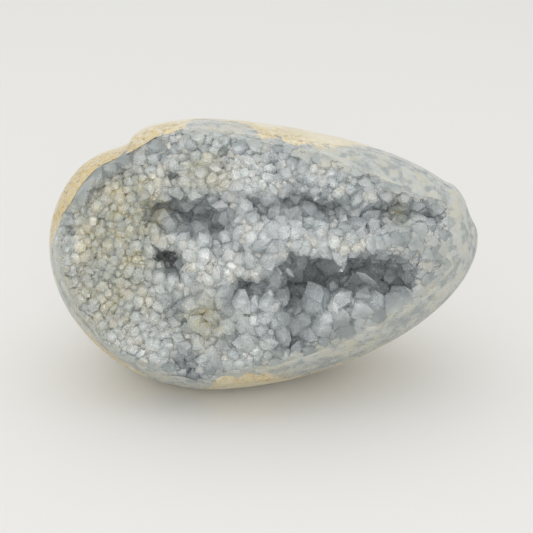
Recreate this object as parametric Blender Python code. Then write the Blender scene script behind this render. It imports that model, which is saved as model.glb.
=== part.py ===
"""A celestite geode, polished to an egg and left open at the front to its crystals.

The limestone egg lies on a small flat spot. A crust of celestite fills the hollow in its front: a bed
with ridges and pockets, and blocky crystals grown together on it, all ground flush with the egg's
surface round the edge.

World axes: X runs along the egg, to its pointed end. The open face looks towards -Y and a little up.
Z is up. The origin is the centre of the flat spot that the egg rests on.
"""

import math
import random

import bmesh
import bpy
from mathutils import Matrix, Vector, noise

MM = 0.001
GAP = 0.3 * MM

# The egg, turned about an axis along X: places along it are measured from its middle
MIDDLE_X = 16.2 * MM
GIRTH_X = -19.6 * MM
GIRTH_RADIUS = 47.8 * MM
BLUNT_REACH = 55.6 * MM
POINTED_REACH = 94.8 * MM
BLUNT_POWER = 2.0
POINTED_POWER = 1.7
HALF_LENGTH = (BLUNT_REACH + POINTED_REACH) / 2

# The axis bows up towards both ends
BOW_SLOPE = 1.26 * MM
BOW_RISE = 5.0 * MM

# The flat spot is ground this deep into the underside
FLAT_DEPTH = 2.6 * MM
AXIS_HEIGHT = GIRTH_RADIUS - FLAT_DEPTH

# A shallow hollow rubbed into the shoulder of the blunt end
SCOOP_CENTRE = Vector((MIDDLE_X - 52 * MM, 12 * MM, AXIS_HEIGHT + 38 * MM))
SCOOP_RADIUS = 13 * MM
SCOOP_DEPTH = 1.8 * MM

EGG_SEGMENTS = 36
EGG_RINGS = 24

# The open face: how far it looks up, and its place in front of the axis
FACE_PITCH = math.radians(24)
FACE_EDGE = 19.5 * MM
FACE_DOME = 13 * MM
FACE_LEAN = 0.02
DOME_MIDDLE = -5 * MM
DOME_HALF_LENGTH = 67 * MM
DOME_HALF_HEIGHT = 47 * MM

# The hollow in the limestone: its wall behind the egg's edge, its floor, and the round between them
RIND_WIDTH = 3.0 * MM
HOLLOW_FLOOR = 2 * MM
HOLLOW_ROUND = 8 * MM
HOLLOW_FRONT = 60 * MM
HOLLOW_SEGMENTS = 56

# Where the rind reaches further over the face: the way there, its spread, and the extra width
RIND_LOBES = (
    (math.radians(62), math.radians(30), 4.5 * MM),
    (math.radians(-58), math.radians(28), 3.0 * MM),
)

# Ridges and pockets of the crystal bed, in millimetres across and up the face:
# the line they follow, the half-width there, and the rise (or the drop, below zero)
RELIEF = {
    "upper ridge": (((-36, 24), (-23, 29), (-8, 28), (1, 23), (-2, 12)), 5.0, 3.5),
    "middle ridge": (((-33, 7), (-23, -1), (-15, -6), (-6, -3), (8, -2)), 4.5, 4.0),
    "great ridge": (((-1, 7), (9, 10), (24, 7), (38, 10), (48, 11), (66, 5)), 6.5, 4.5),
    "left ridge": (((-47, 24), (-60, 16), (-63, 8), (-65, -2)), 4.0, 2.0),
    "upper pocket": (((-33, 14), (-24, 12), (-15, 11)), 6.0, -10.0),
    "deep hole": (((-32, 0), (-30, -2)), 4.5, -14.0),
    "long groove": (((-1, 17), (13, 16), (31, 12), (45, 15), (59, 14)), 4.2, -9.0),
    "great pocket": (((9, -5), (20, -6), (34, -6), (43, -8)), 7.5, -17.0),
    "pocket arm": (((10, -14), (12, -26)), 6.0, -8.0),
    "small pocket": (((-7, -10), (-3, -11)), 3.8, -9.0),
    "lower trough": (((-27, -36), (-24, -40)), 4.0, -5.0),
    "shoulder pit": (((-31, 27), (-30, 27)), 3.0, -5.0),
    "top pit": (((-14, 32), (-13, 32)), 3.0, -5.0),
}
RELIEF_EDGE = 0.55
SWELL = 1.6 * MM
SWELL_LENGTH = 14 * MM

BED_ACROSS = 32
BED_UP = 21
BED_BACK = -6 * MM

# So many crystals crossing one another defeat the exact solver, which takes the rind's cuts
CRUST_SOLVER = "MANIFOLD"

# Crystals that stand out by their size: place on the face, width, and lean across and up, in degrees
GREAT_CRYSTALS = (
    (18, -16, 13, 10, -10),
    (3, -11, 10, -20, 5),
    (27, -7, 8, 15, -20),
    (39, -8, 8, -15, 15),
    (-31, 12, 7, 20, 0),
    (-24, 14, 7, -10, -15),
    (-17, 13, 7, 15, 20),
)
CRYSTAL_SPACING = 6.4 * MM
CRYSTAL_WIDTHS = (6.8 * MM, 10 * MM)
CRYSTAL_TRIES = 12000
POCKET_DEPTH = 8 * MM
POCKET_SHRINK = 0.35
CRYSTAL_SEED = 11
CRYSTAL_SHOWING = 0.6
CRYSTAL_LEAN = 0.4
RHOMB_SHEAR = 0.24
TIP_WIDTHS = (0.35, 0.7)
TIP_LENGTHS = (0.75, 0.95)
SECTION_SHAPES = (0.65, 0.95)

STONE = ((0.72, 0.66, 0.52), 0.42)
CELESTITE = ((0.55, 0.61, 0.66), 0.22)


def clear_scene():
    for leftover in list(bpy.data.objects):
        bpy.data.objects.remove(leftover, do_unlink=True)


def collection(name, hidden=False):
    made = bpy.data.collections.new(name)
    made.hide_render = hidden
    bpy.context.scene.collection.children.link(made)
    return made


def material(name, finish):
    colour, roughness = finish
    made = bpy.data.materials.new(name)
    made.use_nodes = True
    shader = made.node_tree.nodes["Principled BSDF"]
    shader.inputs["Base Color"].default_value = (*colour, 1)
    shader.inputs["Roughness"].default_value = roughness
    shader.inputs["Metallic"].default_value = 0
    return made


def add_object(name, bm, home, finish=None):
    """Turns the bmesh into an object, with its faces pointing out. Helpers have no finish."""
    bm.normal_update()
    bmesh.ops.recalc_face_normals(bm, faces=bm.faces)
    mesh = bpy.data.meshes.new(name)
    bm.to_mesh(mesh)
    bm.free()
    made = bpy.data.objects.new(name, mesh)
    home.objects.link(made)
    if finish:
        mesh.materials.append(finish)
    else:
        made.hide_render = True
        made.display_type = "WIRE"
    return made


def boolean(target, operation, other, solver="EXACT"):
    cut = target.modifiers.new(other.name, "BOOLEAN")
    cut.operation = operation
    cut.solver = solver
    cut.object = other


def egg_radius(across):
    """The egg's radius at a place along it."""
    from_girth = across - GIRTH_X
    if from_girth < 0:
        share, power = -from_girth / BLUNT_REACH, BLUNT_POWER
    else:
        share, power = from_girth / POINTED_REACH, POINTED_POWER
    return GIRTH_RADIUS * math.sqrt(max(0.0, 1 - share**power))


def axis_rise(across):
    """How far the bowed axis stands above its height at the middle."""
    share = across / HALF_LENGTH
    return BOW_SLOPE * share + BOW_RISE * share**2


def from_face(across, up, out):
    """The world point at this place on the open face, and this far in front of the axis."""
    return Vector((
        MIDDLE_X + across,
        up * math.sin(FACE_PITCH) - out * math.cos(FACE_PITCH),
        AXIS_HEIGHT + up * math.cos(FACE_PITCH) + out * math.sin(FACE_PITCH),
    ))


def egg_out(across, up):
    """How far the egg's surface lies in front of the axis, or None beyond its edge."""
    rise = axis_rise(across)
    height = up - rise * math.cos(FACE_PITCH)
    squared = egg_radius(across) ** 2 - height**2
    if squared <= 0:
        return None
    return rise * math.sin(FACE_PITCH) + math.sqrt(squared)


def distance_to_line(across, up, line):
    """Distance from a place on the face to a line through points in millimetres."""
    place = Vector((across, up))
    points = [Vector(point) * MM for point in line]
    nearest = math.inf
    for start, end in zip(points, points[1:]):
        run = end - start
        share = (place - start).dot(run) / run.length_squared
        share = min(1.0, max(0.0, share))
        nearest = min(nearest, (place - start - run * share).length)
    return nearest


def face_out(across, up):
    """How far the domed face lies in front of the axis, before its ridges and pockets."""
    along = (across - DOME_MIDDLE) / DOME_HALF_LENGTH
    dome = 1 - along**2 - (up / DOME_HALF_HEIGHT) ** 2
    return FACE_EDGE + FACE_LEAN * across + FACE_DOME * max(0.0, dome)


def bed_out(across, up):
    """How far the crystal bed lies in front of the axis."""
    out = face_out(across, up)
    for line, half_width, rise in RELIEF.values():
        share = distance_to_line(across, up, line) / (half_width * MM)
        share = min(1.0, max(0.0, (1 + RELIEF_EDGE - share) / (2 * RELIEF_EDGE)))
        out += rise * MM * share * share * (3 - 2 * share)
    ripple = noise.noise(Vector((across, up, 0)) / SWELL_LENGTH)
    return out + SWELL * ripple


def egg_body(name, home, finish=None):
    """The whole egg: a sphere whose poles lie along X, drawn out to the egg's radius at every place."""
    bm = bmesh.new()
    bmesh.ops.create_uvsphere(bm, u_segments=EGG_SEGMENTS, v_segments=EGG_RINGS, radius=1)
    for vertex in bm.verts:
        side, along, round_it = vertex.co.x, vertex.co.z, vertex.co.y
        reach = BLUNT_REACH if along < 0 else POINTED_REACH
        across = GIRTH_X + along * reach
        spread = math.hypot(side, round_it)
        scale = egg_radius(across) / spread if spread > 1e-6 else 0
        height = AXIS_HEIGHT + axis_rise(across) + round_it * scale
        vertex.co = (MIDDLE_X + across, side * scale, height)
        near = (vertex.co - SCOOP_CENTRE).length / SCOOP_RADIUS
        if near < 1:
            inward = Vector((0, -side, -round_it)).normalized()
            vertex.co += inward * SCOOP_DEPTH * (1 - near**2) ** 2
    return add_object(name, bm, home, finish)


def rind_width(way):
    """How far the rind reaches over the face, seen from the front, on the side that this angle gives."""
    width = RIND_WIDTH
    for middle, spread, extra in RIND_LOBES:
        away = math.remainder(way - middle, math.tau) / spread
        width += extra * max(0.0, 1 - away**2) ** 2
    return width


def hollow_body(name, home, inset):
    """What fills the hollow, out past the egg's front: a drum with the egg's outline and a rounded floor."""
    bm = bmesh.new()
    bmesh.ops.create_cone(
        bm, cap_ends=True, segments=HOLLOW_SEGMENTS, radius1=1, radius2=1, depth=2
    )
    back_rim = [edge for edge in bm.edges if all(vert.co.z < 0 for vert in edge.verts)]
    bmesh.ops.bevel(bm, geom=back_rim, offset=0.2, segments=3, profile=0.5, affect="EDGES")
    floor = HOLLOW_FLOOR + inset
    for vertex in bm.verts:
        ring = math.hypot(vertex.co.x, vertex.co.y)
        wall = rind_width(math.atan2(vertex.co.y, vertex.co.x)) + inset
        along = vertex.co.x / ring
        reach = BLUNT_REACH if along < 0 else POINTED_REACH
        edge_x = GIRTH_X + along * reach
        edge_up = math.copysign(egg_radius(edge_x), vertex.co.y)
        drawn_in = wall + (1 - ring) / 0.2 * HOLLOW_ROUND
        shrink_x = 1 - drawn_in / reach
        shrink_up = 1 - drawn_in / GIRTH_RADIUS
        across = GIRTH_X + (edge_x - GIRTH_X) * shrink_x
        up = edge_up * shrink_up + axis_rise(across) * math.cos(FACE_PITCH)
        if vertex.co.z > 0:
            out = HOLLOW_FRONT
        else:
            out = floor + (vertex.co.z + 1) / 0.2 * HOLLOW_ROUND
        vertex.co = from_face(across, up, out)
    return add_object(name, bm, home)


def bed_block(name, home, finish):
    """The crystal bed as a block: a grid raised to the relief, drawn back behind the hollow's floor."""
    bm = bmesh.new()
    bmesh.ops.create_grid(bm, x_segments=BED_ACROSS, y_segments=BED_UP, size=1)
    front = list(bm.verts)
    extruded = bmesh.ops.extrude_face_region(bm, geom=list(bm.faces))
    back = {item for item in extruded["geom"] if isinstance(item, bmesh.types.BMVert)}
    for vertex in front + list(back):
        across = vertex.co.x * (HALF_LENGTH + 4 * MM)
        up = vertex.co.y * (GIRTH_RADIUS + 5 * MM)
        out = BED_BACK if vertex in back else bed_out(across, up)
        vertex.co = from_face(across, up, out)
    return add_object(name, bm, home, finish)


def bed_slope(across, up):
    """The way the bed faces at a place, as a direction in the face's own across, up and out."""
    step = 2.5 * MM
    lean_across = (bed_out(across - step, up) - bed_out(across + step, up)) / (2 * step)
    lean_up = (bed_out(across, up - step) - bed_out(across, up + step)) / (2 * step)
    return Vector((lean_across, lean_up, 1.6)).normalized()


def add_crystal(bm, rolled, across, up, width, lean_across, lean_up):
    """One blocky crystal: a rhombic prism rooted in the bed, with a chisel tip."""
    turn_across = Matrix.Rotation(lean_across, 3, "Y")
    turn_up = Matrix.Rotation(-lean_up, 3, "X")
    axis = turn_across @ turn_up @ bed_slope(across, up)
    spin = Matrix.Rotation(rolled.uniform(0, math.pi), 3, axis)
    side = spin @ axis.orthogonal().normalized()
    other = axis.cross(side) * rolled.uniform(*SECTION_SHAPES)
    height = width * 1.3
    middle = Vector((across, up, bed_out(across, up))) + axis * height * (CRYSTAL_SHOWING - 0.5)
    tip_width = rolled.uniform(*TIP_WIDTHS)
    tip_length = rolled.uniform(*TIP_LENGTHS)
    for vertex in bmesh.ops.create_cube(bm, size=1)["verts"]:
        x, y, z = vertex.co
        x += RHOMB_SHEAR * y
        if z > 0:
            x *= tip_width
            y *= tip_length
        vertex.co = from_face(*(middle + side * x * width + other * y * width + axis * z * height))


class Layers:
    """Crystals sorted into layers, so that no two in one layer touch and each layer is a clean cutter."""

    def __init__(self):
        self.layers = []

    def layer_for(self, across, up, width):
        for placed, bm in self.layers:
            if all(math.hypot(across - x, up - y) > (width + w) * 1.3 for x, y, w in placed):
                break
        else:
            placed, bm = [], bmesh.new()
            self.layers.append((placed, bm))
        placed.append((across, up, width))
        return bm

    def add_objects(self, home):
        return [add_object(f"crystals_{n}", bm, home) for n, (_, bm) in enumerate(self.layers)]


def crystal_layers(home):
    """The great crystals where they stand, and the others scattered by a fixed seed."""
    layers = Layers()
    rolled = random.Random(CRYSTAL_SEED)
    taken = []
    for across, up, width, lean_across, lean_up in GREAT_CRYSTALS:
        place = (across * MM, up * MM)
        leans = (math.radians(lean_across), math.radians(lean_up))
        bm = layers.layer_for(*place, width * MM)
        add_crystal(bm, rolled, *place, width * MM, *leans)
        taken.append((*place, width * MM * 0.45))
    for _ in range(CRYSTAL_TRIES):
        across = rolled.uniform(-HALF_LENGTH, HALF_LENGTH)
        up = rolled.uniform(-GIRTH_RADIUS, GIRTH_RADIUS)
        surface = egg_out(across, up)
        if surface is None or bed_out(across, up) > surface - 2.5 * MM:
            continue
        reach = CRYSTAL_SPACING / 2
        if any(math.hypot(across - x, up - y) < reach + r for x, y, r in taken):
            continue
        depth = face_out(across, up) - bed_out(across, up)
        shrink = POCKET_SHRINK * min(1.0, max(0.0, depth / POCKET_DEPTH))
        width = rolled.uniform(*CRYSTAL_WIDTHS) * (1 - shrink)
        leans = (rolled.gauss(0, CRYSTAL_LEAN), rolled.gauss(0, CRYSTAL_LEAN))
        add_crystal(layers.layer_for(across, up, width), rolled, across, up, width, *leans)
        taken.append((across, up, reach))
    print(len(taken), "crystals in", len(layers.layers), "layers")
    return layers.add_objects(home)


def floor_block(name, home):
    """The block that grinds the flat spot."""
    bm = bmesh.new()
    depth = 20 * MM
    bmesh.ops.create_cube(bm, size=1)
    for vertex in bm.verts:
        vertex.co = (vertex.co.x * 0.2, vertex.co.y * 0.2, (vertex.co.z - 0.5) * depth)
    return add_object(name, bm, home)


def keep_outer_skin(obj):
    """Applies the Booleans and keeps the largest skin: gaps sealed between crystals are filled."""
    graph = bpy.context.evaluated_depsgraph_get()
    mesh = bpy.data.meshes.new_from_object(obj.evaluated_get(graph), depsgraph=graph)
    bm = bmesh.new()
    bm.from_mesh(mesh)
    skins = []
    unseen = set(bm.faces)
    while unseen:
        skin = set()
        edge_of_skin = {next(iter(unseen))}
        while edge_of_skin:
            skin |= edge_of_skin
            linked = {f for face in edge_of_skin for edge in face.edges for f in edge.link_faces}
            edge_of_skin = linked - skin
        unseen -= skin
        skins.append(skin)
    skins.sort(key=len)
    inner = [face for skin in skins[:-1] for face in skin]
    bmesh.ops.delete(bm, geom=inner, context="FACES")
    bm.to_mesh(mesh)
    bm.free()
    obj.modifiers.clear()
    obj.data = mesh


def smooth(obj, degrees):
    obj.data.shade_smooth()
    obj.data.set_sharp_from_angle(angle=math.radians(degrees))


def main():
    clear_scene()
    geode = collection("celestite_geode")
    cutters = collection("cutters", hidden=True)
    stone = material("polished_limestone", STONE)
    celestite = material("celestite", CELESTITE)

    rind = egg_body("matrix_rind", geode, stone)
    smooth(rind, 40)
    boolean(rind, "DIFFERENCE", hollow_body("hollow", cutters, 0))
    boolean(rind, "DIFFERENCE", floor_block("floor", cutters))

    crust = bed_block("crystal_crust", geode, celestite)
    for layer in crystal_layers(cutters):
        boolean(crust, "UNION", layer, CRUST_SOLVER)
    boolean(crust, "INTERSECT", hollow_body("crust_limits", cutters, GAP), CRUST_SOLVER)
    boolean(crust, "INTERSECT", egg_body("egg_limits", cutters), CRUST_SOLVER)
    keep_outer_skin(crust)


main()
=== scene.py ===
# %% [markdown]
# A celestite geode, ground and polished to an egg and left open at the front to its crystals.
# This lesson dresses the plain solids of the geode: the limestone egg that carries everything, and the
# crust of pale blue crystals in its front. The solids stay where they are, and finer meshes of the same
# shape stand in for them, built from the same named sizes, so that nothing has to be fitted by eye.

# %% Load the solids
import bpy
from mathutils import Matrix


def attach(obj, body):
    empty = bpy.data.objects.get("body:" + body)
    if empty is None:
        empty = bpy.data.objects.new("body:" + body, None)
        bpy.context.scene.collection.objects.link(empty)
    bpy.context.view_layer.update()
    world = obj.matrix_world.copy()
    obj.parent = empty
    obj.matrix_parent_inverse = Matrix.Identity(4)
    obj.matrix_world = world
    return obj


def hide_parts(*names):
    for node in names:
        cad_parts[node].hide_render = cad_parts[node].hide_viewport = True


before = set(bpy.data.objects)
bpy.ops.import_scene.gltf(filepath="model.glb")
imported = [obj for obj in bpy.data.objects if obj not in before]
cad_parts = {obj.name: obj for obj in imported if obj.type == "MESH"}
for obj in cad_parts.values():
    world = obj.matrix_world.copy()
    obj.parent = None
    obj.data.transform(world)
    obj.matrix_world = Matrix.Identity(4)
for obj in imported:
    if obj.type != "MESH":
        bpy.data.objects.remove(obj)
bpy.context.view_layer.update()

import math

import bmesh
import bpy
import numpy as np
from mathutils import Vector, noise

MM = 0.001

# %% [markdown]
# The egg is a turned form: a circle at every place along an axis, wide at the girth and drawn out more
# to the pointed end than to the blunt one. A superellipse for each end gives that with two numbers. The
# axis bows up towards both ends, as the egg lies on its belly. The functions take whole arrays of places
# at once, because the fine meshes below have tens of thousands of points.
# Places are given as the open face is seen from the front: across it, up it, and out towards the viewer.

# %% The form of the egg
MIDDLE_X = 16.2 * MM
GIRTH_X = -19.6 * MM
GIRTH_RADIUS = 47.8 * MM
BLUNT_REACH = 55.6 * MM
POINTED_REACH = 94.8 * MM
BLUNT_POWER = 2.0
POINTED_POWER = 1.7
HALF_LENGTH = (BLUNT_REACH + POINTED_REACH) / 2
BOW_SLOPE = 1.26 * MM
BOW_RISE = 5.0 * MM
FLAT_DEPTH = 2.6 * MM
AXIS_HEIGHT = GIRTH_RADIUS - FLAT_DEPTH
FACE_PITCH = math.radians(24)
COS_PITCH, SIN_PITCH = math.cos(FACE_PITCH), math.sin(FACE_PITCH)


def egg_radius(across):
    """The egg's radius at places along it."""
    from_girth = across - GIRTH_X
    blunt = from_girth < 0
    reach = np.where(blunt, BLUNT_REACH, POINTED_REACH)
    power = np.where(blunt, BLUNT_POWER, POINTED_POWER)
    return GIRTH_RADIUS * np.sqrt(1 - np.clip(np.abs(from_girth) / reach, 0, 1) ** power)


def axis_rise(across):
    """How far the bowed axis stands above its height at the middle."""
    share = across / HALF_LENGTH
    return BOW_SLOPE * share + BOW_RISE * share**2


def from_face(across, up, out):
    """World points from places on the open face and their distance in front of the axis."""
    y = up * SIN_PITCH - out * COS_PITCH
    z = AXIS_HEIGHT + up * COS_PITCH + out * SIN_PITCH
    return np.stack(np.broadcast_arrays(MIDDLE_X + across, y, z), axis=-1)


def to_face(points):
    """The places on the open face, and the distance in front of the axis, of world points."""
    y, z = points[..., 1], points[..., 2] - AXIS_HEIGHT
    return points[..., 0] - MIDDLE_X, y * SIN_PITCH + z * COS_PITCH, z * SIN_PITCH - y * COS_PITCH


print("egg", round(2 * HALF_LENGTH / MM, 1), "mm long and", round(2 * GIRTH_RADIUS / MM, 1), "mm round")

# %% [markdown]
# No egg is ground quite true. On this one the wheel went a little deep at the upper left, which leaves a
# shallow scoop with a step at its right end, and it left a soft corner above a blunted tip. A sculpted
# or Boolean dent would be a second shape to keep in line with the first. Here the wear is a few
# millimetres taken off the radius, so the rind, the bed and the crystals all follow it.

# %% The wear of the wheel
SCOOP_ACROSS = -47 * MM
SCOOP_RUN_OUT = 19 * MM
SCOOP_STEP = 1.5 * MM
SCOOP_STEP_SHARE = 0.55
SCOOP_HEEL = 6 * MM
SCOOP_DEPTH = 3.4 * MM
SCOOP_SPREAD = math.radians(38)
CORNER_ACROSS = 67.5 * MM
CORNER_REACH = 5 * MM
CORNER_RISE = 1.4 * MM
TIP_ACROSS = 70.5 * MM
TIP_RUN = 4.7 * MM
TIP_SHARE = 0.6
TIP_SPREAD = math.radians(45)
WEAR_FADE_FROM = 0.4


def eased(value):
    """A soft step: 0 below 0, 1 above 1."""
    value = np.clip(value, 0, 1)
    return value * value * (3 - 2 * value)


def near_outline(from_top, spread):
    """1 at the outline that the front view shows, falling to 0 away from it round the egg."""
    return eased(1 + WEAR_FADE_FROM - np.abs(from_top - FACE_PITCH) / spread)


def wear(across, from_top):
    """How much is worn off the radius, at an angle from the top towards the back."""
    along = across - SCOOP_ACROSS
    step = SCOOP_STEP_SHARE * eased(1 - along / SCOOP_STEP)
    heel = (1 - SCOOP_STEP_SHARE) * eased(1 - along / SCOOP_HEEL)
    scoop = SCOOP_DEPTH * np.where(along < 0, eased(1 + along / SCOOP_RUN_OUT), step + heel)
    tip = TIP_SHARE * egg_radius(across) * np.clip((across - TIP_ACROSS) / TIP_RUN, 0, 1)
    tip = tip - CORNER_RISE * eased(1 - np.abs(across - CORNER_ACROSS) / CORNER_REACH)
    return scoop * near_outline(from_top, SCOOP_SPREAD) + tip * near_outline(from_top, TIP_SPREAD)


def egg_out(across, up):
    """How far the egg's surface lies in front of the axis."""
    rise = axis_rise(across)
    height = up - rise * COS_PITCH
    radius = egg_radius(across)
    front = np.sqrt(np.clip(radius**2 - height**2, 0, None))
    radius = radius - wear(across, FACE_PITCH - np.arctan2(front, height))
    return rise * SIN_PITCH + np.sqrt(np.clip(radius**2 - height**2, 0, None))


deepest = float(wear(np.linspace(-HALF_LENGTH, TIP_ACROSS, 200), FACE_PITCH).max())
print("the scoop is", round(deepest / MM, 2), "mm deep")

# %% [markdown]
# The camera stands where the photographer stood: straight before the open face, which looks up a little,
# at the distance of a table-top picture. A long lens keeps the egg's outline free of distortion.

# %% The camera
LENS = 105
DISTANCE = 0.55
AIM_ACROSS = 1.03 * MM
AIM_UP = -4.4 * MM

camera = bpy.data.objects.new("camera", bpy.data.cameras.new("camera"))
bpy.context.scene.collection.objects.link(camera)
camera.data.lens = LENS
camera.data.clip_start = 0.01
aim = Vector(from_face(AIM_ACROSS, AIM_UP, 0))
towards_camera = Vector((0, -COS_PITCH, SIN_PITCH))
camera.location = aim + towards_camera * DISTANCE
camera.rotation_euler = (-towards_camera).to_track_quat("-Z", "Y").to_euler()
bpy.context.scene.camera = camera
print("camera at", [round(value, 3) for value in camera.location])

# %% [markdown]
# The crust is a bed of celestite with ridges and pockets, a gentle dome in the open face. Each ridge or
# pocket is a soft-edged band along a short line, so a few points by name describe the whole relief, and
# every later step can ask how high the bed stands anywhere.

# %% The relief of the crystal bed
FACE_EDGE = 19.5 * MM
FACE_DOME = 13 * MM
FACE_LEAN = 0.02
DOME_MIDDLE = -5 * MM
DOME_HALF_LENGTH = 67 * MM
DOME_HALF_HEIGHT = 47 * MM
RELIEF = {
    "upper ridge": (((-36, 24), (-23, 29), (-8, 28), (1, 23), (-2, 12)), 5.0, 3.5),
    "middle ridge": (((-33, 7), (-23, -1), (-15, -6), (-6, -3), (8, -2)), 4.5, 4.0),
    "great ridge": (((-1, 7), (9, 10), (24, 7), (38, 10), (48, 11), (66, 5)), 6.5, 4.5),
    "left ridge": (((-47, 24), (-60, 16), (-63, 8), (-65, -2)), 4.0, 2.0),
    "upper pocket": (((-33, 14), (-24, 12), (-15, 11)), 6.0, -10.0),
    "deep hole": (((-32, 0), (-30, -2)), 4.5, -14.0),
    "long groove": (((-1, 17), (13, 16), (31, 12), (45, 15), (59, 14)), 4.2, -9.0),
    "great pocket": (((9, -5), (20, -6), (34, -6), (43, -8)), 7.5, -17.0),
    "pocket arm": (((10, -14), (12, -26)), 6.0, -8.0),
    "small pocket": (((-7, -10), (-3, -11)), 3.8, -9.0),
    "lower trough": (((-27, -36), (-24, -40)), 4.0, -5.0),
    "shoulder pit": (((-31, 27), (-30, 27)), 3.0, -5.0),
    "top pit": (((-14, 32), (-13, 32)), 3.0, -5.0),
}
RELIEF_EDGE = 0.55
SWELL = 1.6 * MM
SWELL_LENGTH = 14 * MM


def distance_to_line(across, up, line):
    """Distance from places on the face to a line through points in millimetres."""
    place = np.stack(np.broadcast_arrays(across, up), axis=-1)
    points = np.array(line) * MM
    nearest = np.full(place.shape[:-1], np.inf)
    for start, end in zip(points, points[1:]):
        run = end - start
        share = np.clip((place - start) @ run / (run @ run), 0, 1)
        nearest = np.minimum(nearest, np.linalg.norm(place - start - share[..., None] * run, axis=-1))
    return nearest


def band(across, up, line, half_width):
    """1 along a line, falling softly to 0 beyond its half-width in millimetres."""
    share = distance_to_line(across, up, line) / (half_width * MM)
    return eased((1 + RELIEF_EDGE - share) / (2 * RELIEF_EDGE))


def ripple(length, *coordinates):
    """Smooth noise between about -1 and 1, with lumps of this length."""
    places = np.stack(np.broadcast_arrays(*coordinates, 0.0)[:3], axis=-1) / length
    values = [noise.noise(Vector(place)) for place in places.reshape(-1, 3).tolist()]
    return np.array(values).reshape(places.shape[:-1])


def face_out(across, up):
    """How far the domed face lies in front of the axis, before its ridges and pockets."""
    along = (across - DOME_MIDDLE) / DOME_HALF_LENGTH
    dome = 1 - along**2 - (up / DOME_HALF_HEIGHT) ** 2
    return FACE_EDGE + FACE_LEAN * across + FACE_DOME * np.clip(dome, 0, None)


def bed_out(across, up):
    """How far the crystal bed lies in front of the axis."""
    out = face_out(across, up)
    for line, half_width, rise in RELIEF.values():
        out = out + rise * MM * band(across, up, line, half_width)
    return out + SWELL * ripple(SWELL_LENGTH, across, up)


print("relief of", len(RELIEF), "ridges and pockets")

# %% [markdown]
# The stone's rim runs round the open face. Seen from the front it is a thin band that widens in a few
# places, most at the upper left. Each wide or narrow place is one soft lobe in this list: the way it
# lies round the face, how far it spreads, and how much it adds to the band's width. The rim is named
# once and used for stone and crust alike, so that both meet along the same line.

# %% The rim of the stone
RIND_WIDTH = 2.6 * MM
RIND_LOBES = (
    (math.radians(70), math.radians(22), 3.6 * MM),
    (math.radians(93), math.radians(12), -1.6 * MM),
    (math.radians(124), math.radians(30), 6.0 * MM),
    (math.radians(156), math.radians(20), 4.4 * MM),
    (math.radians(-143), math.radians(18), 1.6 * MM),
    (math.radians(-100), math.radians(15), 2.6 * MM),
    (math.radians(0), math.radians(62), -1.3 * MM),
)
RIM_WANDER = 0.8 * MM
RIM_WANDER_LENGTH = 0.25


def rind_width(way):
    """How far the rind reaches over the face, seen from the front, on the side that this angle gives."""
    width = RIND_WIDTH + RIM_WANDER * ripple(RIM_WANDER_LENGTH, np.cos(way), np.sin(way))
    for middle, spread, extra in RIND_LOBES:
        away = (np.remainder(way - middle + math.pi, math.tau) - math.pi) / spread
        width = width + extra * np.clip(1 - away**2, 0, None) ** 2
    return width


def rim_place(way, drawn_in):
    """The place on the face at an angle round it, drawn in from the egg's outline."""
    along = np.cos(way)
    reach = np.where(along < 0, BLUNT_REACH, POINTED_REACH)
    edge_across = GIRTH_X + along * reach
    edge_up = np.copysign(egg_radius(edge_across), np.sin(way))
    across = GIRTH_X + (edge_across - GIRTH_X) * (1 - drawn_in / reach)
    return across, edge_up * (1 - drawn_in / GIRTH_RADIUS) + axis_rise(across) * COS_PITCH


widths = rind_width(np.radians(np.arange(360)))
print("rim", round(float(widths.min()) / MM, 1), "to", round(float(widths.max()) / MM, 1), "mm wide")

# %% [markdown]
# Every body here starts as a plain mesh of Blender's, a sphere, a drum or a grid, whose points a formula
# then moves. Reading and writing all the points as one array keeps that fast.

# %% Meshes whose points a formula moves
def coordinates_of(mesh):
    """The mesh's points as an array."""
    points = np.empty(len(mesh.vertices) * 3)
    mesh.vertices.foreach_get("co", points)
    return points.reshape(-1, 3)


def add_mesh(name, bm, points_from):
    """Turns the bmesh into an object whose points are moved by a function of all their places."""
    mesh = bpy.data.meshes.new(name)
    bm.to_mesh(mesh)
    bm.free()
    moved = points_from(coordinates_of(mesh))
    mesh.vertices.foreach_set("co", moved.ravel())
    bm = bmesh.new()
    bm.from_mesh(mesh)
    bm.normal_update()
    bmesh.ops.recalc_face_normals(bm, faces=bm.faces)
    bm.to_mesh(mesh)
    bm.free()
    made = bpy.data.objects.new(name, mesh)
    bpy.context.scene.collection.objects.link(made)
    return made


# %% [markdown]
# The limestone is one hollow egg: a sphere whose poles lie along the egg, drawn out to the radius at
# every place. The hollow is filled by a drum with a rounded floor, whose wall stands on the rim's line,
# and the flat spot is ground by a block that ends at the table's level.

# %% The limestone egg and what cuts it
POLE = 1e-6
EGG_SEGMENTS = 168
EGG_RINGS = 160
HOLLOW_FLOOR = 2 * MM
HOLLOW_ROUND = 8 * MM
HOLLOW_FRONT = 60 * MM
HOLLOW_SEGMENTS = 280
ROUNDED_SHARE = 0.2
GRINDING_BLOCK = 200 * MM


def egg_points(sphere):
    """The points of a unit sphere, its poles along Z, drawn out to the egg."""
    side, round_it, along = sphere.T
    across = GIRTH_X + along * np.where(along < 0, BLUNT_REACH, POINTED_REACH)
    spread = np.hypot(side, round_it)
    scale = np.where(spread > POLE, egg_radius(across) / np.maximum(spread, POLE), 0)
    scale = scale - wear(across, np.arctan2(side, round_it)) * (spread > POLE) / np.maximum(spread, POLE)
    height = AXIS_HEIGHT + axis_rise(across) + round_it * scale
    return np.stack((MIDDLE_X + across, side * scale, height), axis=-1)


def egg_body(name):
    """The whole egg."""
    bm = bmesh.new()
    bmesh.ops.create_uvsphere(bm, u_segments=EGG_SEGMENTS, v_segments=EGG_RINGS, radius=1)
    return add_mesh(name, bm, egg_points)


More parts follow.
